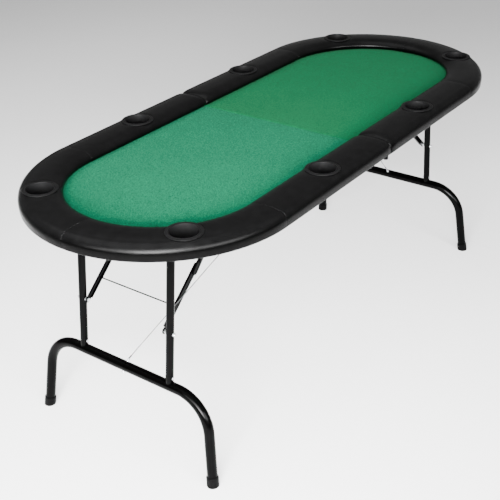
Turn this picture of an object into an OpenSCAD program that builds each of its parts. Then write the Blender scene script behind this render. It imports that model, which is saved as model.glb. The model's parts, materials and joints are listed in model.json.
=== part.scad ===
// Folding eight-seat card table: two identical halves, turned half a turn to each other,
// hinged under the middle seam, each on a fold-away tubular leg frame with locking braces.
// Millimetres. Origin: centre of the footprint on the floor. +X along the table, +Z up.
// Everything is drawn once for the half at -X; the other half is the same thing turned about Z.

/* [Table top] */
// Overall length, end to end
table_length = 1829; // [1780:1:1880]
// Overall width
table_width = 773; // [765:1:790]
// Height of the padded rail's top above the floor
rail_top = 734; // [730:0.5:740]
// Width of the padded rail, seen from above
rail_width = 118; // [112:1:122]
// Depth of the rail, from its top to its lower edge
rail_depth = 44.5; // [43:0.5:48]
// How far the felt lies below the rail's top
felt_drop = 32.5; // [31:0.5:34]
// Radius of the rail's outer upper edge
rail_outer_round = 24; // [15:1:24]
// Radius of the rail's inner upper edge
rail_inner_round = 15.5; // [10:0.5:15.5]
// Gap between the two halves at the middle seam
seam_gap = 1; // [0.8:0.1:2]

/* [Cup holders] */
// Inner radius of a cup's well
cup_radius = 37; // [35:0.5:37.5]
// Depth of the well below the flange's top
cup_depth = 46; // [40:1:46]
// Radius of the flange
cup_flange_radius = 47.5; // [45:0.5:49]
// Distance of the cups' centres from the rail's outer edge
cup_inset = 61; // [58:0.5:62]
// Distance of the side cups from the middle seam
cup_from_seam = 269.5; // [230:0.5:330]
// Angle of a half's front end cup off the long axis
cup_front_angle = 48; // [40:1:55]
// Angle of a half's back end cup off the long axis
cup_back_angle = 42; // [40:1:55]

/* [Leg frames] */
// Distance of the leg pivots from the middle seam
leg_pivot_x = 697; // [690:0.5:700]
// Height of the leg pivots above the floor
leg_pivot_z = 675; // [673:0.5:675.5]
// Angle by which an open leg frame leans outwards
leg_lean = 6.24; // [5:0.01:8]
// Radius of the upright tube
upright_radius = 11; // [10:0.5:11.5]
// Distance of the uprights from the long axis
upright_y = 155.7; // [155.7:0.1:160]
// Radius of the foot tube
foot_tube_radius = 14.5; // [13:0.5:15]
// Distance along the leg from its pivot to the cross bar of the foot tube
bar_drop = 431.5; // [420:0.5:440]
// Half length of the cross bar's straight stretch
bar_half = 185; // [180:1:190]
// Bend radius of the foot tube's centre line
foot_bend = 107; // [95:1:110]
// Angle by which the feet spread sideways
foot_splay = 6.5; // [4:0.5:8]
// Travel of a leg frame from open to stowed
leg_travel = 95; // [90:0.5:95]

/* [Braces] */
// Distance along the leg from its pivot to the brace's lower pivot
brace_drop = 273.5; // [270:0.5:276]
// Angle of the lower link above the horizontal
brace_slope = 41; // [40:0.5:42]
// How much nearer the upper pivot is to the leg pivot than the lower one
brace_offset = 16; // [16:0.5:18]
// Width of a brace link
link_width = 16; // [14:1:18]

/* [Middle hinge] */
// Height of the fold axis above the floor
fold_z = 641; // [636:1:645]
// Distance of the two hinges from the long axis
hinge_y = 125; // [110:1:140]

/* [Hidden] */
$fn = 64;
eps = 0.01;
overcut = 20;

// plan of the top: straight sides of this half length, round ends of this radius
end_radius = table_width / 2;
end_x = table_length / 2 - end_radius;
seam_x = seam_gap / 2;
part_gap = 0.3;

// heights of the layers
rail_bottom = rail_top - rail_depth;
felt_top = rail_top - felt_drop;
felt_thick = 1.8;
board_top = felt_top - felt_thick;
board_bottom = rail_bottom + 0.7;
wrap_thick = 0.7 - part_gap / 2;
core_top = rail_top - 18;
board_inset = 3.5;
core_outer_inset = 15;
core_inner_inset = 24;
wrap_width = 18;

// cup holders
cup_wall = 1.6;
cup_lip = 1.1;
cup_hole = cup_radius + cup_wall + 0.8;
cup_arc = end_radius - cup_inset;
cup_top = rail_top + 0.2 + 2 * cup_lip;
function cup_end(turn) = [-end_x - cup_arc * cos(turn), cup_arc * sin(turn)];
cups = [[-cup_from_seam, -cup_arc], cup_end(-cup_front_angle),
        cup_end(cup_back_angle), [-cup_from_seam, cup_arc]];

// leg frame, in its own frame: origin on the pivot, -Z down the leg
tube_wall = 1.2;
upright_bend = 30;
bar_to_floor = leg_pivot_z / cos(leg_lean);
foot_turn = 90 - foot_splay;
foot_length = (bar_to_floor - bar_drop - foot_bend * (1 - cos(foot_turn))) / cos(foot_splay);
cap_wall = 2.5;
cap_height = 25;
cap_collar = 3;
cap_floor = 5;

// brace linkage, in the XZ plane of the table
leg_pivot = [-leg_pivot_x, leg_pivot_z];
lower_pivot = leg_pivot + brace_drop * [-sin(leg_lean), -cos(leg_lean)];
upper_pivot = [leg_pivot[0] + brace_drop - brace_offset, leg_pivot_z];
brace_span = upper_pivot - lower_pivot;
lower_length = (brace_span * brace_span - brace_offset * brace_offset)
    / (2 * (brace_span * [cos(brace_slope), sin(brace_slope)] - brace_offset));
upper_length = lower_length - brace_offset;
knee = lower_pivot + lower_length * [cos(brace_slope), sin(brace_slope)];
upper_slope = atan2(upper_pivot[1] - knee[1], upper_pivot[0] - knee[0]);
link_tab = 40;
rod_along = 71;
rod_across = -3;
rod_radius = 2;
pin_radius = 3;
running_gap = 0.05;

// places of the brace's layers, measured from the long axis outwards
layer_gap = 0.4;
upright_face = upright_y - upright_radius;
ear_thick = 2.5;
ear_radius = 9;
ear_y = upright_face - 0.9 - ear_thick;
link_thick = 2.5;
upper_link_y = ear_y - layer_gap - link_thick;
lower_link_y = upper_link_y - layer_gap - link_thick;
channel_depth = 4;
channel_wall = 1.8;
channel_end = 10;
channel_edge = (link_width - channel_wall) / 2;
head_radius = 5;
head_height = 2.8;

// brackets and screws
plate_thick = 2.5;
plate_z = board_bottom - plate_thick;
saddle_y = 90;
saddle_width = 30;
saddle_wall = 2.6;
saddle_flange = 36;
screw_radius = 1.8;
screw_head = 3.6;
screw_depth = 7.5;
brace_plate = [36, 30];

// middle hinge
knuckle_radius = 5.5;
hinge_pin_radius = 2.5;
hinge_length = 100;
knuckles = 5;
knuckle_pitch = hinge_length / knuckles;
leaf_reach = 55;
leaf_thick = 2.5;
leaf_z = fold_z + knuckle_radius - 3;
riser_bottom = leaf_z + leaf_thick;
riser_clear = 7;
riser_step = 4;
riser_length = 120;
riser_reach = 62;
riser_screw_depth = 25;

// stay cable from the cross bar to the underside
stay_high = [-647.5, -304, 684];
stay_radius = 0.9;
stay_ring = 5;
stay_wire = 1.3;
stay_bolt_tilt = 56;
stay_bolt_radius = 2.5;
eye_reach = foot_tube_radius + 2 + stay_ring - stay_wire;
bar_axis = leg_pivot + bar_drop * [-sin(leg_lean), -cos(leg_lean)];
stay_low = [bar_axis[0] + eye_reach * cos(stay_bolt_tilt - leg_lean), 0,
            bar_axis[1] + eye_reach * sin(stay_bolt_tilt - leg_lean)];

// rubber buffers under the rail's ends at the seam
buffer_place = [-18, -378.5];
buffer_radius = 7;
buffer_height = 10;

// ---------- shared shapes ----------

// turns a half into the one at +X
module other_half() rotate([0, 0, 180]) children();

// puts a shape drawn in the leg frame's own frame where the open leg stands
module leg_place() translate([leg_pivot[0], 0, leg_pivot[1]]) rotate([0, leg_lean, 0]) children();

// puts a shape drawn along +Y at a point of the XZ plane, on both sides of the long axis
module both_sides(point) for (side = [-1, 1])
    translate([point[0], 0, point[1]]) scale([1, side, 1]) children();

// a disc or bar end on a Y axis, from near to far
module y_disc(radius, near, far) translate([0, near, 0]) rotate([-90, 0, 0])
    cylinder(r = radius, h = far - near);

// plan of one half, cut at the seam
module half_plan(inset, seam = seam_x) {
    translate([-end_x, 0]) circle(end_radius - inset, $fn = 128);
    translate([-end_x, inset - end_radius]) square([end_x - seam, table_width - 2 * inset]);
}

module cup_holes(radius) for (place = cups) translate(place) circle(radius);

// a flat bar from the origin along +X, with round ends and pin holes, in the XY plane
module link_outline(length, tail = 0) difference() {
    union() {
        circle(link_width / 2);
        translate([length, 0]) circle(link_width / 2);
        translate([-tail, -link_width / 2]) square([length + tail, link_width]);
    }
    circle(pin_radius + running_gap);
    translate([length, 0]) circle(pin_radius + running_gap);
}

// stands an XY outline up in the XZ plane, from near to far in Y
module upright_plate(near, far) translate([0, far, 0]) rotate([90, 0, 0])
    linear_extrude(far - near) children();

// a round bar from one point to another
module bar_between(start, finish, radius) {
    way = finish - start;
    translate(start) rotate([0, acos(way[2] / norm(way)), atan2(way[1], way[0])])
        cylinder(r = radius, h = norm(way));
}

// ---------- table top ----------

module board() color("#3a3330") difference() {
    translate([0, 0, board_bottom]) linear_extrude(board_top - board_bottom - 0.1) difference() {
        half_plan(board_inset);
        cup_holes(cup_hole);
    }
    for (place = screw_places) translate([place[0], place[1], board_bottom - 1])
        cylinder(r = screw_radius + 0.05, h = screw_depth + 1);
}

module felt() color("#3f9a74") translate([0, 0, board_top])
    linear_extrude(felt_thick) half_plan(rail_width + part_gap);

module rail_core() color("#9c7b52") translate([0, 0, board_top])
    linear_extrude(core_top - board_top) difference() {
        half_plan(core_outer_inset);
        half_plan(rail_width - core_inner_inset, -overcut);
        cup_holes(cup_hole);
    }

// section of the padded rail: outer edge at 0, felt side at rail_width, height as in the table
module rail_section() difference() {
    union() {
        translate([0, rail_bottom]) square([wrap_width, rail_depth / 2]);
        translate([0, board_top + part_gap])
            square([rail_width - rail_inner_round, rail_top - rail_outer_round - board_top - part_gap]);
        translate([rail_width / 2, board_top + part_gap])
            square([rail_width / 2, rail_top - rail_inner_round - board_top - part_gap]);
        translate([rail_outer_round, rail_top - rail_outer_round]) circle(rail_outer_round);
        translate([rail_outer_round, rail_top - rail_outer_round])
            square([rail_width - rail_outer_round - rail_inner_round, rail_outer_round]);
        translate([rail_width - rail_inner_round, rail_top - rail_inner_round]) circle(rail_inner_round);
    }
    translate([-1, rail_bottom - overcut]) square([rail_width, overcut]);
    translate([board_inset - part_gap, rail_bottom + wrap_thick])
        square([rail_width, board_top + part_gap - rail_bottom - wrap_thick]);
    translate([core_outer_inset - part_gap, board_top - 1])
        square([rail_width - core_outer_inset - core_inner_inset + 2 * part_gap,
                core_top + part_gap - board_top + 1]);
}

module cup_cutters() for (place = cups)
    translate([place[0], place[1], rail_bottom - overcut])
        cylinder(r = cup_hole, h = rail_depth + 2 * overcut);

// a straight stretch of rail; side is -1 at the front and 1 at the back
module rail_pad_straight(side) color("#1c1c1d") difference() {
    translate([-end_x + part_gap, side * end_radius, 0]) scale([1, -side, 1])
        rotate([90, 0, 90]) linear_extrude(end_x - part_gap - seam_x) rail_section();
    cup_cutters();
}

// a quarter of the round end; side is -1 at the front and 1 at the back
module rail_pad_end(side) color("#1c1c1d") difference() {
    translate([-end_x, 0, 0]) scale([1, side, 1]) rotate([0, 0, 90])
        rotate_extrude(angle = 90 - 0.05, $fn = 128)
            translate([end_radius, 0]) mirror([1, 0]) rail_section();
    cup_cutters();
}

module cup_holder(place) color("#141415") translate([place[0], place[1], 0]) difference() {
    union() {
        translate([0, 0, cup_top - cup_depth - cup_wall])
            cylinder(r = cup_radius + cup_wall, h = cup_depth + cup_wall - cup_lip);
        translate([0, 0, cup_top - 2 * cup_lip])
            cylinder(r = cup_flange_radius - cup_lip, h = 1.6 * cup_lip);
        for (radius = [cup_radius + 1.5 * cup_lip, cup_flange_radius - cup_lip])
            translate([0, 0, cup_top - cup_lip]) rotate_extrude() translate([radius, 0]) circle(cup_lip);
    }
    translate([0, 0, cup_top - cup_depth]) cylinder(r = cup_radius, h = cup_depth + overcut);
}

// ---------- fittings under the top ----------

saddle_screws = [for (y = [-saddle_y, saddle_y], x = [-1, 1], w = [-8, 8])
    [leg_pivot[0] + x * (saddle_flange - 8), y + w]];
brace_screws = [for (side = [-1, 1], x = [-11, 11])
    [upper_pivot[0] + x, side * (ear_y - brace_plate[1] / 2 - 2)]];
screw_places = concat(saddle_screws, brace_screws);
hinge_screws = [for (y = [-hinge_y, hinge_y], x = [20, 42], w = [-35, 35]) [-x, y + w]];

// pipe straps that hold the leg frame's pivot tube, and let it turn
module leg_saddles() color("#202022") difference() {
    for (y = [-saddle_y, saddle_y]) translate([leg_pivot[0], y - saddle_width / 2, 0]) {
        translate([0, 0, leg_pivot[1]]) y_disc(upright_radius + saddle_wall, 0, saddle_width);
        translate([-upright_radius - saddle_wall, 0, leg_pivot[1]])
            cube([2 * (upright_radius + saddle_wall), saddle_width, board_bottom - leg_pivot[1]]);
        translate([-saddle_flange, 0, plate_z]) cube([2 * saddle_flange, saddle_width, plate_thick]);
    }
    translate([leg_pivot[0], 0, leg_pivot[1]])
        y_disc(upright_radius + running_gap, -saddle_y - saddle_width, saddle_y + saddle_width);
    translate([leg_pivot[0] - upright_radius - running_gap, -saddle_y - saddle_width, leg_pivot[1]])
        cube([2 * (upright_radius + running_gap), 2 * (saddle_y + saddle_width), overcut]);
    for (place = saddle_screws) translate([place[0], place[1], plate_z - 1])
        cylinder(r = screw_radius + 0.1, h = plate_thick + 2);
}

// angle brackets with a flush pin for each upper link
module brace_brackets() color("#202022") {
    difference() {
        both_sides(upper_pivot) {
            y_disc(ear_radius, ear_y, ear_y + ear_thick);
            translate([-ear_radius, ear_y, 0])
                cube([2 * ear_radius, ear_thick, board_bottom - leg_pivot_z]);
            translate([-brace_plate[0] / 2, ear_y + ear_thick - brace_plate[1], plate_z - leg_pivot_z])
                cube([brace_plate[0], brace_plate[1], plate_thick]);
        }
        for (place = brace_screws) translate([place[0], place[1], plate_z - 1])
            cylinder(r = screw_radius + 0.1, h = plate_thick + 2);
    }
    both_sides(upper_pivot) y_disc(pin_radius, upper_link_y + 0.1, ear_y + ear_thick);
}

// hinge leaf of one half; first is 0 where its knuckles are the outer ones, and 1 for the inner ones
module hinge_leaf(first, bore_gap) color("#2a2a2c") difference() {
    for (y = [-hinge_y, hinge_y]) translate([0, y - hinge_length / 2, fold_z]) {
        for (i = [first : 2 : knuckles - 1]) {
            y_disc(knuckle_radius, i * knuckle_pitch + 0.2, (i + 1) * knuckle_pitch - 0.2);
            translate([-riser_clear - eps, i * knuckle_pitch + 0.2, leaf_z - fold_z])
                cube([riser_clear, knuckle_pitch - 0.4, leaf_thick]);
        }
        translate([-leaf_reach, 0, leaf_z - fold_z])
            cube([leaf_reach - riser_clear, hinge_length, leaf_thick]);
    }
    translate([0, 0, fold_z])
        y_disc(hinge_pin_radius + bore_gap, -hinge_y - hinge_length, hinge_y + hinge_length);
    for (place = hinge_screws) translate([place[0], place[1], leaf_z - 1])
        cylinder(r = screw_radius + 0.1, h = leaf_thick + 2);
}

// hardwood blocks that set the fold axis below the stowed legs
module hinge_risers() color("#4a3526") difference() {
    for (y = [-hinge_y, hinge_y]) translate([0, y + riser_length / 2, 0]) rotate([90, 0, 0])
        linear_extrude(riser_length) polygon([
            [-riser_reach, riser_bottom], [-riser_clear, riser_bottom],
            [-riser_clear, riser_bottom + riser_step], [-seam_x, riser_bottom + riser_step],
            [-seam_x, board_bottom], [-riser_reach, board_bottom]]);
    for (place = hinge_screws) translate([place[0], place[1], riser_bottom - 1])
        cylinder(r = screw_radius + running_gap, h = riser_screw_depth + 1);
}

module hinge_pins() color("#8a8c90") for (y = [-hinge_y, hinge_y]) translate([0, y, fold_z])
    y_disc(hinge_pin_radius, -hinge_length / 2 - 1.5, hinge_length / 2 + 1.5);

module pan_screw(depth) {
    cylinder(r = screw_radius, h = depth);
    intersection() {
        translate([0, 0, -2]) cylinder(r = screw_head, h = 2);
        translate([0, 0, 2.2]) sphere(4.7);
    }
}

module board_screws() color("#77797d") {
    for (place = screw_places) translate([place[0], place[1], plate_z])
        pan_screw(plate_thick + screw_depth - 0.5);
    for (place = hinge_screws) translate([place[0], place[1], leaf_z])
        pan_screw(leaf_thick + riser_screw_depth - 1);
}

module seam_buffer() color("#0e0e0f")
    translate([buffer_place[0], buffer_place[1], rail_bottom - buffer_height]) rotate_extrude() {
        square([buffer_radius - 2, buffer_height]);
        translate([0, 2]) square([buffer_radius, buffer_height - 2]);
        translate([buffer_radius - 2, 2]) circle(2);
    }

// ---------- stay cable ----------

stay_way = (stay_high - stay_low) / norm(stay_high - stay_low);

// a wire ring lying in the XZ plane
module wire_ring() rotate([90, 0, 0]) rotate_extrude()
    translate([stay_ring - stay_wire, 0]) circle(stay_wire);

module stay_anchor() color("#b9bcc0") translate(stay_high) {
    wire_ring();
    translate([0, 0, stay_ring - stay_wire])
        cylinder(r = stay_wire, h = board_bottom - stay_high[2] - stay_ring + stay_wire);
}

module stay_cable() color("#c4c7cb")
    bar_between(stay_low + stay_way * (stay_ring + part_gap), stay_high - stay_way * (stay_ring + part_gap),
                stay_radius);

// ---------- leg frame ----------

// hollow or solid inverted U of the uprights, in the leg's own frame
module upright_path(radius) {
    y_disc(radius, upright_bend - upright_y, upright_y - upright_bend);
    for (side = [-1, 1]) scale([1, side, 1]) {
        translate([0, upright_y - upright_bend, -upright_bend]) rotate([0, -90, 0])
            rotate_extrude(angle = 90) translate([upright_bend, 0]) circle(radius, $fn = 40);
        translate([0, upright_y, -bar_drop]) cylinder(r = radius, h = bar_drop - upright_bend);
    }
}

// puts a shape in the plane of each foot bend, its centre at the origin and the cross bar's end on +X
module bend_place() for (side = [-1, 1]) scale([1, side, 1])
    translate([0, bar_half, -bar_drop - foot_bend]) rotate([0, -90, 0]) children();

// puts a shape drawn along +Z at the lower end of each foot bend, pointing down the foot
module foot_place() bend_place()
    rotate([0, 0, foot_turn]) translate([foot_bend, 0, 0]) rotate([-90, 0, 0]) children();

// foot tube: cross bar, two bends and two splayed legs, in the leg's own frame
module foot_path(radius, short) {
    translate([0, 0, -bar_drop]) y_disc(radius, -bar_half, bar_half);
    bend_place() rotate_extrude(angle = foot_turn) translate([foot_bend, 0]) circle(radius, $fn = 40);
    foot_place() cylinder(r = radius, h = foot_length - short);
}

// the lower pivot's place in the leg's own frame, and the frame screws'
module lower_pivot_hole(radius) translate([0, 0, -brace_drop])
    y_disc(radius, -upright_y - overcut, upright_y + overcut);
frame_screw_z = -bar_drop + foot_tube_radius + 11;
frame_nut = 2.2;

module upright_frame() color("#161617") leg_place() difference() {
    upright_path(upright_radius);
    upright_path(upright_radius - tube_wall);
    translate([0, 0, -bar_drop])
        y_disc(foot_tube_radius + running_gap, -upright_y - overcut, upright_y + overcut);
    lower_pivot_hole(pin_radius + running_gap);
    translate([0, 0, frame_screw_z]) y_disc(screw_radius + 0.1, -upright_y - overcut, upright_y + overcut);
}

module foot_tube() color("#161617") leg_place() difference() {
    foot_path(foot_tube_radius, cap_floor);
    foot_path(foot_tube_radius - tube_wall, cap_floor - 1);
    stay_bolt_place() translate([0, 0, -2 * overcut])
        cylinder(r = stay_bolt_radius + running_gap, h = 4 * overcut);
}

// rubber caps, cut level by the floor; each has a thinner collar at its mouth
module foot_caps() color("#0f0f10") difference() {
    leg_place() foot_place() difference() {
        union() {
            translate([0, 0, foot_length - cap_height])
                cylinder(r = foot_tube_radius + cap_wall, h = cap_height + overcut / 2);
            translate([0, 0, foot_length - cap_height - cap_collar])
                cylinder(r = foot_tube_radius + cap_wall / 2, h = cap_collar + 1);
        }
        translate([0, 0, -overcut])
            cylinder(r = foot_tube_radius + running_gap, h = foot_length - cap_floor + overcut);
    }
    translate([-table_length, -table_width, -2 * overcut])
        cube([2 * table_length, 2 * table_width, 2 * overcut]);
}

// bolts of the lower brace pivots, with spacers and dome nuts, and the screws of the uprights' ends
module leg_bolts() color("#c9ccd0") leg_place() {
    for (side = [-1, 1]) scale([1, side, 1]) translate([0, 0, -brace_drop]) {
        y_disc(pin_radius, lower_link_y - 1, upright_y + upright_radius + 3);
        y_disc(head_radius, lower_link_y - 0.3 - head_height, lower_link_y - 0.3);
        y_disc(head_radius, upper_link_y, upright_face - 0.2);
        y_disc(head_radius, upright_y + upright_radius + 0.2, upright_y + upright_radius + 3);
        translate([0, upright_y + upright_radius + 3, 0]) intersection() {
            sphere(head_radius - 0.8);
            y_disc(head_radius, -1, head_radius);
        }
    }
    for (side = [-1, 1]) scale([1, side, 1]) translate([0, 0, frame_screw_z]) {
        translate([0, upright_y + upright_radius + 0.1, 0])
            rotate([90, 0, 0]) pan_screw(2 * upright_radius + frame_nut + 0.3);
        y_disc(screw_head, upright_y - upright_radius - 0.2 - frame_nut, upright_y - upright_radius - 0.2);
    }
}

// stands a shape drawn along +Z on the cross bar's tilted bolt hole, eye end up
module stay_bolt_place() translate([0, 0, -bar_drop]) rotate([0, 90 - stay_bolt_tilt, 0]) children();

// eye bolt through the cross bar, with a washer and a dome nut below
module stay_eye() color("#b9bcc0") leg_place() stay_bolt_place() {
    nut_base = -foot_tube_radius - 3.4;
    translate([0, 0, nut_base]) cylinder(r = stay_bolt_radius, h = 2 * foot_tube_radius + 5.4);
    translate([0, 0, eye_reach]) wire_ring();
    translate([0, 0, nut_base]) cylinder(r = head_radius + 0.2, h = 3);
    intersection() {
        translate([0, 0, nut_base]) sphere(head_radius - 0.6);
        translate([0, 0, nut_base - head_radius]) cylinder(r = head_radius, h = head_radius + 0.4);
    }
}

// ---------- braces ----------

// channel link with its web towards the upright, flanges towards the long axis
module lower_links() color("#161617") both_sides(lower_pivot) rotate([0, -brace_slope, 0]) {
    upright_plate(lower_link_y, lower_link_y + link_thick) link_outline(lower_length);
    for (edge = [-1, 1])
        translate([channel_end, lower_link_y - channel_depth, edge * channel_edge - channel_wall / 2])
            cube([lower_length - 2 * channel_end, channel_depth + 0.5, channel_wall]);
}

module cross_rod() color("#161617")
    translate([lower_pivot[0], 0, lower_pivot[1]]) rotate([0, -brace_slope, 0])
        translate([rod_along, 0, rod_across]) y_disc(rod_radius, -lower_link_y + 0.1, lower_link_y - 0.1);

// the knee's rivet is split between the two links, because it is where the closed linkage is opened
module knee_rivets() color("#c9ccd0") both_sides(knee) {
    y_disc(pin_radius, lower_link_y - 0.3, lower_link_y + link_thick + 0.05);
    y_disc(head_radius, lower_link_y - 2.4, lower_link_y - 0.3);
}

// flat link whose tail runs on past the knee, with its half of the knee's rivet
module upper_links() color("#161617") both_sides(knee) rotate([0, -upper_slope, 0]) {
    far = upper_link_y + link_thick;
    upright_plate(upper_link_y, far) link_outline(upper_length, link_tab - link_width / 2);
    translate([-link_tab + link_width / 2, 0, 0]) y_disc(link_width / 2, upper_link_y, far);
    y_disc(pin_radius + running_gap, upper_link_y, far + 0.5);
    y_disc(head_radius, far, far + 2.2);
}

// ---------- the half at -X ----------
board();  // board_left
felt();  // felt_left
rail_core();  // rail_core_left
rail_pad_straight(-1);  // rail_pad_left_front
rail_pad_end(-1);  // rail_pad_left_front_end
rail_pad_end(1);  // rail_pad_left_back_end
rail_pad_straight(1);  // rail_pad_left_back
cup_holder(cups[0]);  // cup_left_front
cup_holder(cups[1]);  // cup_left_front_end
cup_holder(cups[2]);  // cup_left_back_end
cup_holder(cups[3]);  // cup_left_back
leg_saddles();  // leg_saddles_left
brace_brackets();  // brace_brackets_left
hinge_leaf(0, 0.02);  // hinge_leaves_left
hinge_risers();  // hinge_risers_left
board_screws();  // board_screws_left
seam_buffer();  // seam_buffer_left
stay_anchor();  // stay_anchor_left
stay_cable();  // stay_cable_left
upright_frame();  // upright_frame_left
foot_tube();  // foot_tube_left
foot_caps();  // foot_caps_left
leg_bolts();  // leg_bolts_left
stay_eye();  // stay_eye_left
lower_links();  // lower_links_left
cross_rod();  // cross_rod_left
knee_rivets();  // knee_rivets_left
upper_links();  // upper_links_left

// ---------- the half at +X ----------
other_half() board();  // board_right
other_half() felt();  // felt_right
other_half() rail_core();  // rail_core_right
other_half() rail_pad_straight(1);  // rail_pad_right_front
other_half() rail_pad_end(1);  // rail_pad_right_front_end
other_half() rail_pad_end(-1);  // rail_pad_right_back_end
other_half() rail_pad_straight(-1);  // rail_pad_right_back
other_half() cup_holder(cups[3]);  // cup_right_front
other_half() cup_holder(cups[2]);  // cup_right_front_end
other_half() cup_holder(cups[1]);  // cup_right_back_end
other_half() cup_holder(cups[0]);  // cup_right_back
other_half() leg_saddles();  // leg_saddles_right
other_half() brace_brackets();  // brace_brackets_right
other_half() hinge_leaf(1, 0.06);  // hinge_leaves_right
other_half() hinge_risers();  // hinge_risers_right
other_half() board_screws();  // board_screws_right
other_half() seam_buffer();  // seam_buffer_right
other_half() stay_anchor();  // stay_anchor_right
other_half() stay_cable();  // stay_cable_right
other_half() upright_frame();  // upright_frame_right
other_half() foot_tube();  // foot_tube_right
other_half() foot_caps();  // foot_caps_right
other_half() leg_bolts();  // leg_bolts_right
other_half() stay_eye();  // stay_eye_right
other_half() lower_links();  // lower_links_right
other_half() cross_rod();  // cross_rod_right
other_half() knee_rivets();  // knee_rivets_right
other_half() upper_links();  // upper_links_right

hinge_pins();
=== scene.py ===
"""Looks of the folding poker table: vinyl rail pads, felt, cups, cables, stitching, materials and light.

Lengths are in metres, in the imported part's own frame: +X along the table, +Z up, the floor at 0.
Each soft piece is made once for the half at -X and copied, turned half a turn about Z, for the other half.
"""

import json
import math

import bmesh
import bpy
from mathutils import Matrix, Vector, noise


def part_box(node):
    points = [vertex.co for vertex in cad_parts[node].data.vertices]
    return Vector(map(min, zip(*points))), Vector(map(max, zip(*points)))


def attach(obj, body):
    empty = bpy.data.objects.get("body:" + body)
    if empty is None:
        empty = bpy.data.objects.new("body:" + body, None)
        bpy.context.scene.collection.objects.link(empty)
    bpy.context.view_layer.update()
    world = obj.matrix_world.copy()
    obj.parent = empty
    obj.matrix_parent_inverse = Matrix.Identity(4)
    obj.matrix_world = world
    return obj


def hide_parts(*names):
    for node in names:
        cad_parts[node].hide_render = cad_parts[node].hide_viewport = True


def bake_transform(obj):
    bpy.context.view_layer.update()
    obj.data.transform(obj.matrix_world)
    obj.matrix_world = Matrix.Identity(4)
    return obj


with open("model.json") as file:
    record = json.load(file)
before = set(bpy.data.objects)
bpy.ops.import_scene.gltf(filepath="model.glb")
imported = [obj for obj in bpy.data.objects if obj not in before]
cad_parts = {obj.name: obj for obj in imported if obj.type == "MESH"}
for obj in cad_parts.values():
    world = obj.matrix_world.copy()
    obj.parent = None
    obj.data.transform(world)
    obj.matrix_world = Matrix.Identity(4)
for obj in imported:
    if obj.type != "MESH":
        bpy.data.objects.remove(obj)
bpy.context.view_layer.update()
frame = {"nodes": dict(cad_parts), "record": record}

MM = 0.001
TAU = 2 * math.pi
HALF_TURN = Matrix.Rotation(math.pi, 4, "Z")
PLACES = ("front", "front_end", "back_end", "back")
TURNED = dict(zip(PLACES, reversed(PLACES)))

# the table's own sizes, read from the frame
PAD_LOW, PAD_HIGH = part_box("rail_pad_left_front")
END_RADIUS = -PAD_LOW.y
END_X = -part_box("rail_pad_left_front_end")[1].x
SEAM_X = -PAD_HIGH.x
RAIL_WIDTH = PAD_HIGH.y - PAD_LOW.y
RAIL_TOP = PAD_HIGH.z
RAIL_BOTTOM = PAD_LOW.z
FELT_LOW, FELT_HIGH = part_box("felt_left")
FELT_TOP = FELT_HIGH.z
BOARD_TOP = FELT_LOW.z
CORE_LOW, CORE_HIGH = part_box("rail_core_left")
CORE_INSET = END_RADIUS + CORE_LOW.y
CORE_BACK = RAIL_WIDTH - 24 * MM
FLOOR = 0.0

# distances along the rail's outer edge, from the CAD pad's end at the fold
STRAIGHT = END_X - SEAM_X
QUARTER = END_RADIUS * math.pi / 2
SEAMS = (STRAIGHT, STRAIGHT + QUARTER, STRAIGHT + 2 * QUARTER)
RAIL_LENGTH = 2 * STRAIGHT + 2 * QUARTER

# the upholstery's section: insets are measured from the rail's outer edge
OUTER_ROUND = 24 * MM
CREST_INSET = 58 * MM
CREST = RAIL_TOP + 1.2 * MM
SLOPE_TOP = CREST - 0.2 * MM
SHOULDER = 3.2 * MM
SIDE_LEAN = 0.9 * MM
LOW_ROUND = 3 * MM
BULGE_HEIGHT = RAIL_TOP - 19.5 * MM
BULGE_TOP = 45 * MM
BULGE_FOOT = 15.5 * MM
BULGE_LIFT = 0.7 * MM
WRAP_WIDTH = 18 * MM
WRAP_THICK = 0.5 * MM
BOARD_SIDE = 3.2 * MM
CORE_GAP = 0.3 * MM

# the pads' ends at the seams and at the fold, and the gaps between the soft pieces
SEAM_ROUND = 1.1 * MM
FOLD_ROUND = 30 * MM
FOLD_DROP = 9 * MM
SOFT_GAP = 0.15 * MM
FOLD_GAP = 0.04 * MM
RING_STEP = 4.5 * MM
END_RINGS = 8
ROLL_FADE = 10 * MM

# unevenness of the vinyl: depths, spacing, and reach from a seam
PUCKER, PUCKER_PITCH, PUCKER_REACH = 0.28 * MM, 15 * MM, 13 * MM
PINCH, PINCH_REACH = 0.5 * MM, 11 * MM
SWELL = 0.45 * MM
RIPPLE = 0.12 * MM

# cup holders, and the vinyl's seat under their flanges
CUP_WELL = 37 * MM
CUP_SIDES = 96
FLANGE_THICK = 2.6 * MM
HOLE_LIP = 7 * MM
HOLE_SIDES = 64
SEAT_FADE = 9 * MM
SEAT_LIFT = 0.35
SEAT_FROM = RAIL_TOP - 24 * MM
SEAT_FULL = RAIL_TOP - 6 * MM


# ---------- meshes ----------

def make_piece(name, points, faces, material):
    """A new smooth mesh object from points and faces, in the table's frame."""
    mesh = bpy.data.meshes.new(name)
    mesh.from_pydata([tuple(p) for p in points], [], faces)
    mesh.validate()
    mesh.materials.append(material)
    for polygon in mesh.polygons:
        polygon.use_smooth = True
    piece = bpy.data.objects.new(name, mesh)
    bpy.context.scene.collection.objects.link(piece)
    return piece


def outward(piece):
    """Turns a closed mesh's faces outwards."""
    sculpt = bmesh.new()
    sculpt.from_mesh(piece.data)
    bmesh.ops.recalc_face_normals(sculpt, faces=sculpt.faces)
    sculpt.to_mesh(piece.data)
    sculpt.free()
    return piece


def turned_copy(piece, name, material=None):
    """The same piece for the half at +X."""
    twin = piece.copy()
    twin.data = piece.data.copy()
    twin.name = name
    twin.data.name = name
    twin.data.transform(HALF_TURN)
    if material:
        twin.data.materials[0] = material
    bpy.context.scene.collection.objects.link(twin)
    return twin


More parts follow.
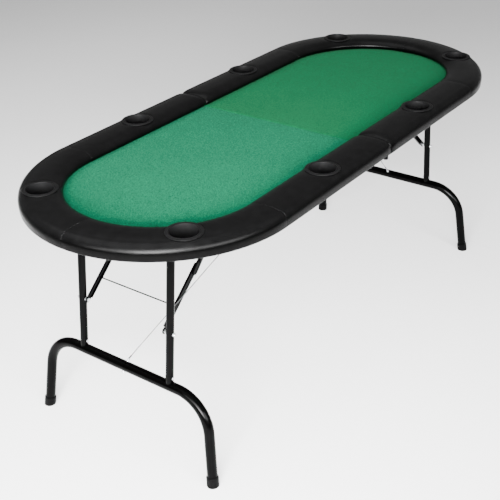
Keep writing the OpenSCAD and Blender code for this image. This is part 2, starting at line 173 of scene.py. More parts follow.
def apply_modifiers(piece):
    """Makes the modifiers' result the piece's own mesh."""
    bpy.context.view_layer.update()
    shape = piece.evaluated_get(bpy.context.evaluated_depsgraph_get())
    mesh = bpy.data.meshes.new_from_object(shape)
    mesh.name = piece.name
    piece.modifiers.clear()
    piece.data = mesh


def lathe(profile, sides):
    """Points and faces of a profile of (radius, height) turned about Z; its ends at radius 0 are poles."""
    points, rings, faces = [], [], []
    for radius, height in profile:
        if radius == 0:
            rings.append([len(points)] * sides)
            points.append(Vector((0, 0, height)))
        else:
            rings.append(list(range(len(points), len(points) + sides)))
            for k in range(sides):
                turn = TAU * k / sides
                points.append(Vector((radius * math.cos(turn), radius * math.sin(turn), height)))
    for below, above in zip(rings, rings[1:]):
        for k in range(sides):
            corners = [below[k], below[(k + 1) % sides], above[(k + 1) % sides], above[k]]
            face = list(dict.fromkeys(corners))
            if len(face) > 2:
                faces.append(face)
    return points, faces


def arc(centre, radius, start, finish, steps):
    """Points of an arc in a plane, angles in degrees."""
    turns = [math.radians(start + (finish - start) * k / steps) for k in range(steps + 1)]
    return [(centre[0] + radius * math.cos(t), centre[1] + radius * math.sin(t)) for t in turns]


def eased(steps):
    """Shares from 0 to 1, close together near 0."""
    return [1 - math.cos(math.pi / 2 * k / steps) for k in range(steps + 1)]


def tube(path, radius, sides):
    """Points and faces of a closed tube along a path; radius may be a function of ring number and angle."""
    points, faces = [], []
    side = None
    for i, place in enumerate(path):
        ahead = (path[min(i + 1, len(path) - 1)] - path[max(i - 1, 0)]).normalized()
        if side is None:
            side = ahead.orthogonal().normalized()
        side = (side - ahead * side.dot(ahead)).normalized()
        other = ahead.cross(side)
        for k in range(sides):
            turn = TAU * k / sides
            reach = radius(i, turn) if callable(radius) else radius
            points.append(place + side * (reach * math.cos(turn)) + other * (reach * math.sin(turn)))
    for i in range(len(path) - 1):
        for k in range(sides):
            a, b = i * sides + k, i * sides + (k + 1) % sides
            faces.append([a, b, b + sides, a + sides])
    faces.append(list(reversed(range(sides))))
    faces.append(list(range(len(points) - sides, len(points))))
    return points, faces


# ---------- the rail's path and section ----------

def rail_point(along, inset, height):
    """A point of the left half's rail: a distance along its outer edge, an inset from it and a height."""
    reach = END_RADIUS - inset
    if along <= STRAIGHT:
        return Vector((-SEAM_X - along, -reach, height))
    if along <= STRAIGHT + 2 * QUARTER:
        turn = (along - STRAIGHT) / END_RADIUS
        return Vector((-END_X - reach * math.sin(turn), -reach * math.cos(turn), height))
    return Vector((-END_X + along - STRAIGHT - 2 * QUARTER, reach, height))


def ellipse(centre, reaches, start, finish, steps):
    """Points of a stretched arc in a plane, angles in degrees."""
    circle = arc((0, 0), 1, start, finish, steps)
    return [(centre[0] + reaches[0] * x, centre[1] + reaches[1] * y) for x, y in circle]


def visible_section():
    """The vinyl's section as (inset, height): from the felt round the bulge, over the top and under."""
    foot = RAIL_WIDTH - BULGE_FOOT
    curve = [(foot, BOARD_TOP + CORE_GAP), (foot, BOARD_TOP + 1.0 * MM)]
    curve += ellipse((foot, BULGE_HEIGHT), (BULGE_FOOT, BULGE_HEIGHT - FELT_TOP - BULGE_LIFT), -90, 0, 7)
    slope = RAIL_WIDTH - BULGE_TOP
    curve += ellipse((slope, BULGE_HEIGHT), (BULGE_TOP, SLOPE_TOP - BULGE_HEIGHT), 0, 90, 14)[1:]
    side_top = CREST - SHOULDER - OUTER_ROUND
    steps = 10
    for k in range(1, steps):
        inset = slope + (OUTER_ROUND - slope) * k / steps
        share = max(CREST_INSET - inset, 0) / (CREST_INSET - OUTER_ROUND)
        curve.append((inset, CREST - SHOULDER * share ** 2))
    curve += arc((OUTER_ROUND, side_top), OUTER_ROUND, 90, 180, 14)
    side = side_top - RAIL_BOTTOM - LOW_ROUND
    steps = 5
    curve += [(SIDE_LEAN * (k / steps) ** 2, side_top - side * k / steps) for k in range(1, steps)]
    curve += arc((LOW_ROUND + SIDE_LEAN, RAIL_BOTTOM + LOW_ROUND), LOW_ROUND, 180, 270, 5)
    curve += [(LOW_ROUND + (WRAP_WIDTH - LOW_ROUND) * k / 4, RAIL_BOTTOM) for k in range(2, 5)]
    return curve


def hidden_section():
    """The rest of the pad's section, round the wooden core and the board's edge."""
    wrap_top = RAIL_BOTTOM + WRAP_THICK
    low, high = BOARD_TOP + CORE_GAP, CORE_HIGH.z + CORE_GAP
    front, back = CORE_INSET - CORE_GAP, CORE_BACK + CORE_GAP
    return [(WRAP_WIDTH, wrap_top), (BOARD_SIDE, wrap_top), (BOARD_SIDE, low), (front, low),
            (front, high), (back, high), (back, low)]


def section_normals(curve):
    """Outward directions of the section's points."""
    found = []
    for k in range(len(curve)):
        before, after = curve[max(k - 1, 0)], curve[min(k + 1, len(curve) - 1)]
        way = Vector((after[0] - before[0], after[1] - before[1])).normalized()
        found.append((way.y, -way.x))
    return found


SECTION = visible_section()
SECTION_OUT = section_normals(SECTION)
SECTION_LENGTHS = [0.0]
for here, there in zip(SECTION, SECTION[1:]):
    SECTION_LENGTHS.append(SECTION_LENGTHS[-1] + math.dist(here, there))


def edge_drop(distance, length, depth):
    """How far a rolled edge drops at a distance from its end: a quarter of an ellipse."""
    if distance >= length:
        return 0.0
    return depth * (1 - math.sqrt(max(1 - (1 - distance / length) ** 2, 0)))


def roll_share(inset, height):
    """How much of a pad's rolled end reaches a place of the section: none at the felt and underneath."""
    if inset > RAIL_WIDTH / 2:
        return min(max((height - FELT_TOP - 1 * MM) / ROLL_FADE, 0), 1)
    return min(max((height - RAIL_BOTTOM - 2 * MM) / (RAIL_TOP - RAIL_BOTTOM), 0), 1)


def surface_offset(along, k, to_start, to_end, rounds):
    """How far the vinyl stands out of its plain section: rolled ends, puckers at the seams, soft waves."""
    drop = max(edge_drop(distance, length, min(length, FOLD_DROP))
               for distance, length in zip((to_start, to_end), rounds))
    across = SECTION_LENGTHS[k]
    middle = math.sin(math.pi * min(max(across / SECTION_LENGTHS[-1], 0), 1)) ** 0.5
    pucker = 0.0
    for distance, shift in ((to_start, 0.0), (to_end, 2.1)):
        drift = 2.5 * noise.noise(Vector((across * 40, shift, along)))
        wave = math.sin(TAU * across / PUCKER_PITCH + shift + drift)
        pucker += PUCKER * wave * math.exp(-distance / PUCKER_REACH) * min(distance / (3 * MM), 1)
    pinch = sum(math.exp(-(distance / PINCH_REACH) ** 2) for distance in (to_start, to_end))
    swell = SWELL * noise.noise(Vector((along * 7, across * 9, 3.7))) - PINCH * pinch
    ripple = RIPPLE * noise.noise(Vector((along * 34, across * 16, 9.1)))
    return (pucker + swell + ripple) * middle - drop * roll_share(*SECTION[k])


def pad_rings(start, finish, rounds):
    """Distances along the rail of a pad's rings: close together at its rolled ends."""
    inner = [start + rounds[0] * share for share in eased(END_RINGS)]
    outer = [finish - rounds[1] * share for share in reversed(eased(END_RINGS))]
    length = outer[0] - inner[-1]
    count = round(length / RING_STEP)
    return inner + [inner[-1] + length * k / count for k in range(1, count)] + outer


def cut_hole(piece, centre, radius, low, high):
    """Cuts a round hole through a piece."""
    points, faces = lathe([(0, low), (radius, low), (radius, high), (0, high)], HOLE_SIDES)
    cutter = make_piece("cutter", [p + Vector((centre.x, centre.y, 0)) for p in points], faces,
                        piece.data.materials[0])
    outward(cutter)
    cut = piece.modifiers.new("hole", "BOOLEAN")
    cut.operation = "DIFFERENCE"
    cut.solver = "EXACT"
    cut.object = cutter
    apply_modifiers(piece)
    bpy.data.objects.remove(cutter)


def cup_centre(name):
    """The axis of a cup, as a point at height 0."""
    low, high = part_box(name)
    return Vector(((low.x + high.x) / 2, (low.y + high.y) / 2, 0))


def seated(point, centre, flange, seat):
    """Where the foam's surface goes near a cup: drawn up flat under the cup's flange."""
    distance = math.hypot(point.x - centre.x, point.y - centre.y)
    share = min(max((flange + SEAT_FADE - distance) / SEAT_FADE, 0), 1)
    topness = min(max((point.z - SEAT_FROM) / (SEAT_FULL - SEAT_FROM), 0), 1)
    blend = share * share * (3 - 2 * share) * topness * (1 if point.z > seat else SEAT_LIFT)
    return Vector((point.x, point.y, point.z + (seat - point.z) * blend))


def pad_ends(number):
    """Where a pad of the left half starts and ends along the rail, and how long its rolled ends are."""
    starts = [FOLD_GAP - SEAM_X] + [seam + SOFT_GAP for seam in SEAMS]
    finishes = [seam - SOFT_GAP for seam in SEAMS] + [RAIL_LENGTH + SEAM_X - FOLD_GAP]
    rounds = [FOLD_ROUND] + [SEAM_ROUND] * len(SEAMS) + [FOLD_ROUND]
    return starts[number], finishes[number], (rounds[number], rounds[number + 1])


def rail_pad(place, material):
    """One vinyl pad of the left half, a closed soft shape round the wooden core."""
    start, finish, rounds = pad_ends(PLACES.index(place))
    cup_low, cup_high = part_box(f"cup_left_{place}")
    centre = cup_centre(f"cup_left_{place}")
    flange = (cup_high.x - cup_low.x) / 2
    seat = cup_high.z - FLANGE_THICK
    hidden = hidden_section()
    points, faces = [], []
    rings = pad_rings(start, finish, rounds)
    for along in rings:
        for k, (inset, height) in enumerate(SECTION):
            out = surface_offset(along, k, along - start, finish - along, rounds)
            across, upward = SECTION_OUT[k]
            plain = rail_point(along, inset + across * out, height + upward * out)
            points.append(seated(plain, centre, flange, seat))
        points += [rail_point(along, inset, height) for inset, height in hidden]
    width = len(SECTION) + len(hidden)
    for i in range(len(rings) - 1):
        for k in range(width):
            a, b = i * width + k, i * width + (k + 1) % width
            faces.append([a, b, b + width, a + width])
    faces.append(list(range(width)))
    faces.append(list(range(len(points) - width, len(points))))
    piece = outward(make_piece(f"vinyl_left_{place}", points, faces, material))
    piece.data.set_sharp_from_angle(angle=math.radians(50))
    return piece


# ---------- felt ----------

FELT_REACH = END_RADIUS - RAIL_WIDTH + BULGE_FOOT - 2 * SOFT_GAP
FELT_THICK = 1.4 * MM
FELT_EDGE = 2.0 * MM
FELT_WAVE = 0.35 * MM
FELT_ROWS = 44
FELT_STEPS = 40
EDGE_STEPS = 5
LAST_TURN = math.radians(89)


def felt_width(x):
    """Half the felt's width at a place along the left half."""
    beyond = max(-END_X - x, 0)
    return math.sqrt(max(FELT_REACH ** 2 - beyond ** 2, 0))


def felt_stations():
    """Places along the felt, close together at the rolled seam edge and towards the round end's tip."""
    stations = [-FOLD_GAP - FELT_EDGE * share for share in eased(EDGE_STEPS)]
    steps = range(1, FELT_STEPS + 1)
    stations += [stations[-1] - (END_X + stations[-1]) * k / FELT_STEPS for k in steps]
    stations += [-END_X - FELT_REACH * math.sin(LAST_TURN * k / FELT_STEPS) for k in steps]
    return stations


def felt_height(x, y):
    """Height of the felt: flat, with a faint soft unevenness and edges that roll down."""
    wave = FELT_WAVE * noise.noise(Vector((x * 5, y * 5, 1.3)))
    to_seam = -FOLD_GAP - x
    to_rail = min(felt_width(x) - abs(y), END_X + felt_width(-END_X) + x)
    roll = edge_drop(to_seam, FELT_EDGE, FELT_EDGE) + edge_drop(max(to_rail, 0), 2 * FELT_EDGE, FELT_EDGE)
    return FELT_TOP - FELT_WAVE + wave - roll


def felt_sheet(material):
    """The left half's felt: one stretched cloth, cut straight at the seam and round at the end."""
    points, faces = [], []
    stations = felt_stations()
    shares = [math.sin(math.pi / 2 * (2 * k / FELT_ROWS - 1)) for k in range(FELT_ROWS + 1)]
    for x in stations:
        width = felt_width(x)
        points += [Vector((x, width * share, felt_height(x, width * share))) for share in shares]
    for i in range(len(stations) - 1):
        for k in range(FELT_ROWS):
            a = i * (FELT_ROWS + 1) + k
            faces.append([a, a + 1, a + FELT_ROWS + 2, a + FELT_ROWS + 1])
    piece = make_piece("felt_cloth_left", points, faces, material)
    for polygon in piece.data.polygons:
        if polygon.normal.z < 0:
            polygon.flip()
    thick = piece.modifiers.new("thickness", "SOLIDIFY")
    thick.thickness = FELT_THICK
    thick.offset = -1
    apply_modifiers(piece)
    return piece


# ---------- cup holders ----------

def cup_profile(name):
    """The cup holder's closed outline as (radius, height), its flange dished between bead and rim."""
    low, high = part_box(name)
    top, bottom = high.z, low.z
    flange = (high.x - low.x) / 2
    wall, corner, bead, edge = 1.6 * MM, 4 * MM, 1.5 * MM, 0.9 * MM
    root_thick = 3.2 * MM
    dish_outer, dish_inner = flange - 2.2 * MM, CUP_WELL + 4.0 * MM
    floor_top = bottom + wall
    ring_top = floor_top + 0.5 * MM
    outline = [(0, bottom), (CUP_WELL - corner, bottom)]
    outline += arc((CUP_WELL - corner, bottom + corner + wall), corner + wall, -90, 0, 6)
    outline += [(CUP_WELL + wall, top - root_thick), (flange - edge, top - FLANGE_THICK)]
    outline += arc((flange - edge, top - FLANGE_THICK + edge), edge, -90, 90, 8)
    outline += [(dish_outer, top - 0.9 * MM), (dish_inner, top - 1.1 * MM)]
    outline += arc((CUP_WELL + bead, top - bead), bead, 35, 180, 8)
    outline += [(CUP_WELL, bottom + (top - bottom) * share) for share in (0.8, 0.6, 0.4, 0.25)]
    outline += arc((CUP_WELL - corner, floor_top + corner), corner, 0, -90, 6)
    outline += [(CUP_WELL * 0.62, floor_top), (CUP_WELL * 0.6, ring_top), (CUP_WELL * 0.52, ring_top),
                (CUP_WELL * 0.5, floor_top), (0, floor_top)]
    return outline


def cup_holder(place, material):
    """One moulded cup holder of the left half."""
    name = f"cup_left_{place}"
    points, faces = lathe(cup_profile(name), CUP_SIDES)
    centre = cup_centre(name)
    piece = outward(make_piece(f"cup_holder_left_{place}", [p + centre for p in points], faces, material))
    piece.data.set_sharp_from_angle(angle=math.radians(60))
    return piece


# ---------- stitching and staples ----------

def capsule(start, finish, radius):
    """Points and faces of a short round-ended thread between two points."""
    way = finish - start
    path = [start + way * share for share in (0, 0.12, 0.35, 0.65, 0.88, 1)]
    swell = (0.35, 0.8, 1, 1, 0.8, 0.35)
    return tube(path, lambda i, turn: radius * swell[i], 8)


def gather(shapes):
    """Joins several (points, faces) into one."""
    points, faces = [], []
    for some_points, some_faces in shapes:
        offset = len(points)
        points += some_points
        faces += [[k + offset for k in face] for face in some_faces]
    return points, faces


def section_place(along, distance, proud):
    """A point at a distance along the visible section, proud of it."""
    k = max(i for i, length in enumerate(SECTION_LENGTHS[:-1]) if length <= distance)
    share = (distance - SECTION_LENGTHS[k]) / (SECTION_LENGTHS[k + 1] - SECTION_LENGTHS[k])
    inset = SECTION[k][0] + (SECTION[k + 1][0] - SECTION[k][0]) * share
    height = SECTION[k][1] + (SECTION[k + 1][1] - SECTION[k][1]) * share
    out = SECTION_OUT[k]
    return rail_point(along, inset + out[0] * proud, height + out[1] * proud)


def seam_stitches(material):
    """The thread in the three sewn seams of the left half's vinyl."""
    pitch, stitch, thread, sunk = 4.2 * MM, 2.9 * MM, 0.32 * MM, 1.5 * MM
    reach = SECTION_LENGTHS[-1] - WRAP_WIDTH
    first = FELT_TOP - BOARD_TOP + 1 * MM
    stitches = []
    for along in SEAMS:
        for k in range(int((reach - first) / pitch)):
            start = first + k * pitch
            stitches.append(capsule(section_place(along, start, -sunk),
                                    section_place(along, start + stitch, -sunk), thread))
    points, faces = gather(stitches)
    return outward(make_piece("stitches_left", points, faces, material))


def staple(middle, way):
    """A staple's crown lying on the wrapped vinyl under the board."""
    half = way.normalized() * 5 * MM
    rise = Vector((0, 0, 1.6 * MM))
    sunk = Vector((0, 0, -0.5 * MM))
    path = [middle - half + rise, middle - half + sunk * 0.4, middle - half * 0.86 + sunk,
            middle + half * 0.86 + sunk, middle + half + sunk * 0.4, middle + half + rise]
    return tube(path, 0.45 * MM, 6)


def wrap_staples(material):
    """Staples that hold the vinyl's edge under the left half's board."""
    inset = WRAP_WIDTH - 5 * MM
    pitch = 42 * MM
    count = int(RAIL_LENGTH / pitch)
    shapes = []
    for k in range(count):
        along = (k + 0.5) * RAIL_LENGTH / count + 3 * MM * noise.noise(Vector((k * 1.7, 0, 0)))
        middle = rail_point(along, inset + 1.5 * MM * noise.noise(Vector((k * 2.3, 5, 0))), RAIL_BOTTOM)
        way = rail_point(along + 1 * MM, inset, RAIL_BOTTOM) - rail_point(along - 1 * MM, inset, RAIL_BOTTOM)
        tilt = Matrix.Rotation(0.25 * noise.noise(Vector((k * 3.1, 9, 0))), 3, "Z")
        shapes.append(staple(middle, tilt @ way))
    points, faces = gather(shapes)
    return outward(make_piece("staples_left", points, faces, material))


# ---------- stay cable ----------

CABLE_LOW, CABLE_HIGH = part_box("stay_cable_left")
CABLE_FOOT = Vector((CABLE_LOW.x, CABLE_HIGH.y, CABLE_LOW.z))
CABLE_HEAD = Vector((CABLE_HIGH.x, CABLE_LOW.y, CABLE_HIGH.z))


def cable_strand(material):
    """The twisted steel cable of the left leg frame, from the eye bolt to the underside."""
    radius, lay, step = 0.95 * MM, 14 * MM, 1.6 * MM
    way = CABLE_HEAD - CABLE_FOOT
    count = round(way.length / step)
    path = [CABLE_FOOT + way * k / count for k in range(count + 1)]

    def lobes(i, turn):
        return radius * (1 + 0.16 * abs(math.cos(3 * (turn - TAU * i * step / lay))))

    points, faces = tube(path, lobes, 24)
    return outward(make_piece("cable_left", points, faces, material))


def cable_sleeve(name, start, way, material):
    """A crimped sleeve on the cable, next to one of its rings."""
    length, radius = 13 * MM, 2.1 * MM
    widths = [0.75, 0.95, 1, 1, 0.86, 0.86, 1, 1, 0.86, 0.86, 1, 1, 0.95, 0.75]
    path = [start + way * length * k / (len(widths) - 1) for k in range(len(widths))]
    points, faces = tube(path, lambda i, turn: radius * widths[i], 20)
    piece = outward(make_piece(name, points, faces, material))
    piece.data.set_sharp_from_angle(angle=math.radians(45))
    return piece


# ---------- materials ----------

WAVE_SCALE = 0.314  # the wave texture's scale for one band per metre


class Paint:
    """A procedural material being built: its nodes, links and main shader."""

    def __init__(self, name, color, roughness, metallic=0.0):
        self.material = bpy.data.materials.new(name)
        self.material.use_nodes = True
        self.nodes = self.material.node_tree.nodes
        self.links = self.material.node_tree.links
        self.shader = self.nodes["Principled BSDF"]
        self.shader.inputs["Base Color"].default_value = (*color, 1)
        self.shader.inputs["Roughness"].default_value = roughness
        self.shader.inputs["Metallic"].default_value = metallic
        self.place = self.nodes.new("ShaderNodeTexCoord").outputs["Object"]
        self.bumped = None

    def noise(self, scale, detail=3.0, stretch=(1, 1, 1)):
        """A noise pattern, scale in cells per metre."""
        node = self.nodes.new("ShaderNodeTexNoise")
        node.inputs["Scale"].default_value = scale
        node.inputs["Detail"].default_value = detail
        self.links.new(self.stretched(stretch), node.inputs["Vector"])
        return node.outputs["Fac"]

    def cells(self, scale):
        """The distance to the nearest edge of a cell pattern, scale in cells per metre."""
        node = self.nodes.new("ShaderNodeTexVoronoi")
        node.feature = "DISTANCE_TO_EDGE"
        node.inputs["Scale"].default_value = scale
        self.links.new(self.place, node.inputs["Vector"])
        return node.outputs["Distance"]

    def wave(self, scale, direction, distortion):
        """A pattern of bands, scale in bands per metre."""
        node = self.nodes.new("ShaderNodeTexWave")
        node.bands_direction = direction
        node.inputs["Scale"].default_value = scale * WAVE_SCALE
        node.inputs["Distortion"].default_value = distortion
        self.links.new(self.place, node.inputs["Vector"])
        return node.outputs["Fac"]

    def height(self):
        """How high a place of the surface is in the table's frame."""
        node = self.nodes.new("ShaderNodeSeparateXYZ")
        self.links.new(self.place, node.inputs["Vector"])
        return node.outputs["Z"]

    def stretched(self, stretch):
        """The place on the surface, scaled along each axis."""
        if stretch == (1, 1, 1):
            return self.place
        node = self.nodes.new("ShaderNodeMapping")
        node.inputs["Scale"].default_value = stretch
        self.links.new(self.place, node.inputs["Vector"])
        return node.outputs["Vector"]

    def levels(self, value, low, high, new_low=0.0, new_high=1.0):
        """A value's range stretched to a new one."""
        node = self.nodes.new("ShaderNodeMapRange")
        limits = {"From Min": low, "From Max": high, "To Min": new_low, "To Max": new_high}
        for name, limit in limits.items():
            node.inputs[name].default_value = limit
        self.links.new(value, node.inputs["Value"])
        return node.outputs["Result"]

    def join(self, first, second, operation="ADD"):
        """Two values in one."""
        node = self.nodes.new("ShaderNodeMath")
        node.operation = operation
        for place, value in enumerate((first, second)):
            if isinstance(value, (int, float)):
                node.inputs[place].default_value = value
            else:
                self.links.new(value, node.inputs[place])
        return node.outputs["Value"]

    def shades(self, value, dark, light):
        """Colours the surface between two shades."""
        node = self.nodes.new("ShaderNodeMix")
        node.data_type = "RGBA"
        node.inputs["A"].default_value = (*dark, 1)
        node.inputs["B"].default_value = (*light, 1)
        self.links.new(value, node.inputs["Factor"])
        self.links.new(node.outputs["Result"], self.shader.inputs["Base Color"])
        return self

    def rough(self, value, low, high):
        """Varies the roughness between two values."""
        self.links.new(self.levels(value, 0.3, 0.7, low, high), self.shader.inputs["Roughness"])
        return self

    def bump(self, value, depth, strength=1.0):
        """Adds relief, its depth in metres."""
        node = self.nodes.new("ShaderNodeBump")
        node.inputs["Strength"].default_value = strength
        node.inputs["Distance"].default_value = depth
        self.links.new(value, node.inputs["Height"])
        if self.bumped:
            self.links.new(self.bumped, node.inputs["Normal"])
        self.bumped = node.outputs["Normal"]
        self.links.new(self.bumped, self.shader.inputs["Normal"])
        return self

    def gloss(self, **settings):
        """Sets further inputs of the shader."""
        for name, value in settings.items():
            self.shader.inputs[name.replace("_", " ")].default_value = value
        return self


def vinyl_paint():
    """Grained black vinyl, its base colour darker on the rail's side than on top: a painted shade."""
    paint = Paint("black_vinyl", (0.0012, 0.0012, 0.00123), 0.22)
    # painted shade: the base colour fades darker from the rail's top down its side
    upper = paint.levels(paint.height(), RAIL_TOP - 22 * MM, RAIL_TOP - 8 * MM)
    grain = paint.cells(1050)
    pores = paint.levels(grain, 0.0, 0.12)
    mottle = paint.levels(paint.noise(38, 5), 0.3, 0.7, 0.6, 1.0)
    # the mottle gives a random tone; the painted side shade pulls the colour to the dark end
    paint.shades(paint.join(mottle, upper, "MULTIPLY"), (0.0002, 0.0002, 0.0002), (0.0025, 0.0025, 0.00255))
    paint.rough(paint.noise(55, 6), 0.18, 0.25)
    paint.bump(paint.noise(330, 4), 0.10 * MM, 0.5)
    paint.bump(pores, 0.06 * MM, 0.55)
    return paint.gloss(Specular_IOR_Level=0.05).material


def felt_paint(name, dark, light):
    """Napped woven felt, speckled between two shades."""
    paint = Paint(name, light, 0.95)
    threads = paint.join(paint.wave(1500, "X", 1.5), paint.wave(1500, "Y", 1.5), "MULTIPLY")
    fibres = paint.levels(paint.noise(900, 2), 0.36, 0.64, 0.0, 0.3)
    speckle = paint.levels(paint.noise(440, 1), 0.38, 0.62, 0.0, 0.7)
    mixed = paint.join(paint.join(fibres, speckle), paint.levels(paint.noise(9, 3), 0.3, 0.7, 0.0, 0.06))
    paint.shades(paint.join(mixed, paint.join(threads, 0.2, "MULTIPLY")), dark, light)
    paint.bump(threads, 0.10 * MM, 0.5)
    paint.bump(paint.noise(1400, 3), 0.10 * MM, 0.5)
    return paint.gloss(Sheen_Weight=0.01, Sheen_Roughness=0.5, Specular_IOR_Level=0.03).material


def powder_coat_paint():
    """Glossy black powder coat of the tubes, links and brackets."""
    paint = Paint("black_powder_coat", (0.0003, 0.0003, 0.00032), 0.15)
    paint.shades(paint.noise(30, 4), (0.0002, 0.0002, 0.0002), (0.0004, 0.0004, 0.0004))
    paint.rough(paint.noise(70, 5), 0.11, 0.20)
    paint.bump(paint.noise(120, 2), 0.02 * MM, 0.3)
    return paint.gloss(Specular_IOR_Level=0.035).material


def zinc_paint(name="zinc_plate", roughness=0.26, bright=1.0):
    """Bright metal; a smaller value of bright makes it darker."""
    paint = Paint(name, (0.72 * bright, 0.73 * bright, 0.75 * bright), roughness, 1.0)
    paint.shades(paint.noise(300, 5), (0.58 * bright, 0.59 * bright, 0.62 * bright),
                 (0.80 * bright, 0.81 * bright, 0.82 * bright))
    paint.rough(paint.noise(500, 5), roughness - 0.08, roughness + 0.14)
    paint.bump(paint.noise(1500, 2), 0.01 * MM, 0.4)
    return paint.material


def rubber_paint():
    """Dull black rubber."""
    paint = Paint("black_rubber", (0.0007, 0.0007, 0.0007), 0.5)
    paint.shades(paint.noise(90, 5), (0.0005, 0.0005, 0.0005), (0.0010, 0.0010, 0.0010))
    paint.rough(paint.noise(140, 5), 0.42, 0.6)
    paint.bump(paint.noise(1100, 3), 0.03 * MM, 0.5)
    return paint.gloss(Specular_IOR_Level=0.04).material


def cup_paint():
    """Moulded black plastic of the cup holders."""
    paint = Paint("cup_plastic", (0.0035, 0.0035, 0.0036), 0.42)
    paint.shades(paint.noise(60, 4), (0.0028, 0.0028, 0.0029), (0.0043, 0.0043, 0.0044))
    paint.rough(paint.noise(120, 4), 0.33, 0.45)
    paint.bump(paint.noise(1800, 3), 0.03 * MM, 0.45)
    return paint.gloss(Specular_IOR_Level=0.06).material


def wood_paint(name, dark, light, roughness):
    """Wood with its grain along X."""
    paint = Paint(name, light, roughness)
    grain = paint.noise(120, 8, (0.06, 1, 1))
    figure = paint.noise(14, 3, (0.12, 1, 1))
    mixed = paint.join(paint.join(grain, 0.6, "MULTIPLY"), paint.join(figure, 0.5, "MULTIPLY"))
    paint.shades(paint.levels(mixed, 0.35, 0.75), dark, light)
    paint.rough(grain, roughness - 0.06, roughness + 0.1)
    paint.bump(grain, 0.12 * MM, 0.5)
    return paint.gloss(Specular_IOR_Level=0.15).material


def thread_paint():
    """Twisted dark thread."""
    paint = Paint("sewing_thread", (0.03, 0.03, 0.032), 0.55)
    paint.shades(paint.noise(2500, 2), (0.02, 0.02, 0.021), (0.06, 0.06, 0.063))
    paint.bump(paint.noise(3000, 2), 0.05 * MM, 0.6)
    return paint.gloss(Sheen_Weight=0.3).material


def floor_paint():
    """The studio floor's pale matt grey."""
    paint = Paint("pale_floor", (0.92, 0.92, 0.92), 0.9)
    paint.shades(paint.noise(2, 3), (0.91, 0.91, 0.91), (0.93, 0.93, 0.93))
    return paint.material


# ---------- room ----------

# the camera, fitted to the reference view
CAMERA_PLACE = Vector((-2.2465, -1.5367, 1.7863))
CAMERA_YAW = 0.6567
CAMERA_PITCH = -0.5115
CAMERA_ROLL = -0.0359
CAMERA_LENS = 68.9
CAMERA_SHIFT = (0.0367, 0.0033)


def add_camera():
    """The camera, from where the reference view was taken."""
    forward = Vector((math.cos(CAMERA_YAW) * math.cos(CAMERA_PITCH),
                      math.sin(CAMERA_YAW) * math.cos(CAMERA_PITCH), math.sin(CAMERA_PITCH)))
    level = Vector((math.sin(CAMERA_YAW), -math.cos(CAMERA_YAW), 0))
    upward = level.cross(forward)
    right = level * math.cos(CAMERA_ROLL) + upward * math.sin(CAMERA_ROLL)
    above = upward * math.cos(CAMERA_ROLL) - level * math.sin(CAMERA_ROLL)
    lens = bpy.data.cameras.new("camera")
    lens.lens = CAMERA_LENS
    lens.shift_x, lens.shift_y = CAMERA_SHIFT
    camera = bpy.data.objects.new("camera", lens)
    bpy.context.scene.collection.objects.link(camera)
    turned = Matrix((right, above, -forward)).transposed().to_4x4()
    camera.matrix_world = Matrix.Translation(CAMERA_PLACE) @ turned
    bpy.context.scene.camera = camera


def add_floor():
    """A plain square floor under the table."""
    reach = 14
    corners = [Vector((x * reach, y * reach, FLOOR)) for x, y in ((-1, -1), (1, -1), (1, 1), (-1, 1))]
    make_piece("floor", corners, [[0, 1, 2, 3]], floor_paint())


def add_light(name, place, target, size, power, spread):
    """A soft rectangular light aimed at a point, its spread in degrees."""
    lamp = bpy.data.lights.new(name, "AREA")
    lamp.shape = "RECTANGLE"
    lamp.size, lamp.size_y = size
    lamp.energy = power
    lamp.spread = math.radians(spread)
    light = bpy.data.objects.new(name, lamp)
    light.location = place
    light.rotation_euler = (Vector(target) - Vector(place)).to_track_quat("-Z", "Y").to_euler()
    bpy.context.scene.collection.objects.link(light)


def add_room_light(strength):
    """Even white light from all round."""
    world = bpy.data.worlds.new("studio")
    world.use_nodes = True
    sky = world.node_tree.nodes["Background"]
    sky.inputs["Color"].default_value = (1, 1, 1, 1)
    sky.inputs["Strength"].default_value = strength
    bpy.context.scene.world = world


def add_studio_light():
    """Soft light from above, from the camera's side and low along the rail's outer side."""
    add_room_light(0.34)
    add_light("overhead", (-0.8, 0.8, 3.8), (-0.2, 0, 0.7), (5.0, 3.6), 62, 110)
    add_light("key", (-2.9, -1.5, 2.2), (-0.8, -0.2, 0.7), (2.4, 1.2), 70, 90)
    add_light("rim", (-3.0, -1.5, 1.4), (-0.8, -0.2, 0.7), (1.7, 0.75), 185, 90)
    add_light("rim_front", (-1.3, -2.8, 1.5), (-0.5, -0.3, 0.7), (2.4, 1.0), 72, 90)
    add_light("rim_left", (-3.5, 0.0, 1.4), (-0.8, 0, 0.7), (1.4, 0.8), 30, 90)


# ---------- assembly ----------

def settle(piece, side, stands_for):
    """Lets a piece ride with its half of the table top and hides the CAD part that it stands for."""
    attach(piece, f"half_{side}")
    if stands_for:
        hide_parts(stands_for)


def add_rail():
    """The eight vinyl pads, each with the hole for its cup holder."""
    vinyl = vinyl_paint()
    past = 20 * MM
    for place in PLACES:
        pad = rail_pad(place, vinyl)
        low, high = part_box(f"rail_pad_left_{place}")
        cup_low, cup_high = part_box(f"cup_left_{place}")
        radius = (cup_high.x - cup_low.x) / 2 - HOLE_LIP
        cut_hole(pad, cup_centre(f"cup_left_{place}"), radius, low.z - past, high.z + past)
        twin = turned_copy(pad, f"vinyl_right_{TURNED[place]}")
        for piece, side, where in ((pad, "left", place), (twin, "right", TURNED[place])):
            settle(piece, side, f"rail_pad_{side}_{where}")


def add_cups():
    """The eight cup holders."""
    plastic = cup_paint()
    for place in PLACES:
        cup = cup_holder(place, plastic)
        twin = turned_copy(cup, f"cup_holder_right_{TURNED[place]}")
        settle(cup, "left", f"cup_left_{place}")
        settle(twin, "right", f"cup_right_{TURNED[place]}")


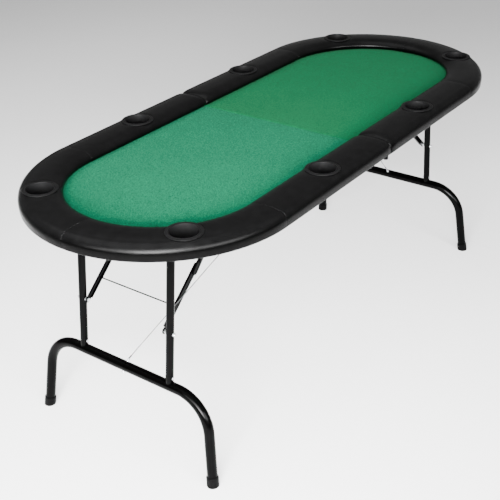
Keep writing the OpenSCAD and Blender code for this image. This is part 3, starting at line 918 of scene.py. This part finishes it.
def add_felt():
    """The two felts, each on its half's board, in the two shades that the reference shows."""
    left = felt_paint("green_felt_left", (0.0001, 0.025, 0.011), (0.0005, 0.118, 0.055))
    right = felt_paint("green_felt_right", (0.0001, 0.035, 0.0115), (0.0003, 0.096, 0.034))
    cloth = felt_sheet(left)
    twin = turned_copy(cloth, "felt_cloth_right", right)
    for piece, side in ((cloth, "left"), (twin, "right")):
        settle(piece, side, f"felt_{side}")


def add_trim():
    """The seams' thread and the staples under the board."""
    for make, material, material_slot in ((seam_stitches, thread_paint(), "black_vinyl"),
                                          (wrap_staples, zinc_paint("staple_wire", 0.3), "zinc_steel")):
        piece = make(material)
        twin = turned_copy(piece, piece.name.replace("left", "right"))
        settle(piece, "left", None)
        settle(twin, "right", None)


def add_cables():
    """The two stay cables, each with a crimped sleeve at both ends."""
    steel = zinc_paint("cable_steel", 0.3, 0.14)
    strand = cable_strand(steel)
    way = (CABLE_HEAD - CABLE_FOOT).normalized()
    lower = cable_sleeve("cable_lower_sleeve_left", CABLE_FOOT + way * 1 * MM, way, steel)
    upper = cable_sleeve("cable_upper_sleeve_left", CABLE_HEAD - way * 1 * MM, -way, steel)
    pieces = {"left": (strand, lower, upper)}
    pieces["right"] = [turned_copy(p, p.name.replace("left", "right")) for p in pieces["left"]]
    for side, turn in (("left", Matrix.Identity(4)), ("right", HALF_TURN)):
        strand, lower, upper = pieces[side]
        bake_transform(strand)
        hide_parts(f"stay_cable_{side}")
        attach(lower, f"leg_frame_{side}")
        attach(upper, f"half_{side}")


def finish_cad_nodes():
    """Gives every CAD node that stays visible its procedural material."""
    finishes = {
        "black_steel": powder_coat_paint(),
        "zinc_steel": zinc_paint(),
        "black_rubber": rubber_paint(),
        "plywood": wood_paint("stained_plywood", (0.0030, 0.0027, 0.0024), (0.0100, 0.0085, 0.0073), 0.6),
        "rail_wood": wood_paint("raw_plywood", (0.30, 0.19, 0.10), (0.52, 0.37, 0.21), 0.6),
        "riser_wood": wood_paint("varnished_hardwood", (0.028, 0.014, 0.007), (0.076, 0.040, 0.020), 0.4),
    }
    slots = {row["node"]: row["material_slot"] for row in frame["record"]["subparts"]}
    for name, node in frame["nodes"].items():
        finish = finishes.get(slots[name])
        if finish and not node.hide_render:
            node.data.materials.clear()
            node.data.materials.append(finish)


add_camera()
add_floor()
add_rail()
add_cups()
add_felt()
add_trim()
add_cables()
finish_cad_nodes()
add_studio_light()
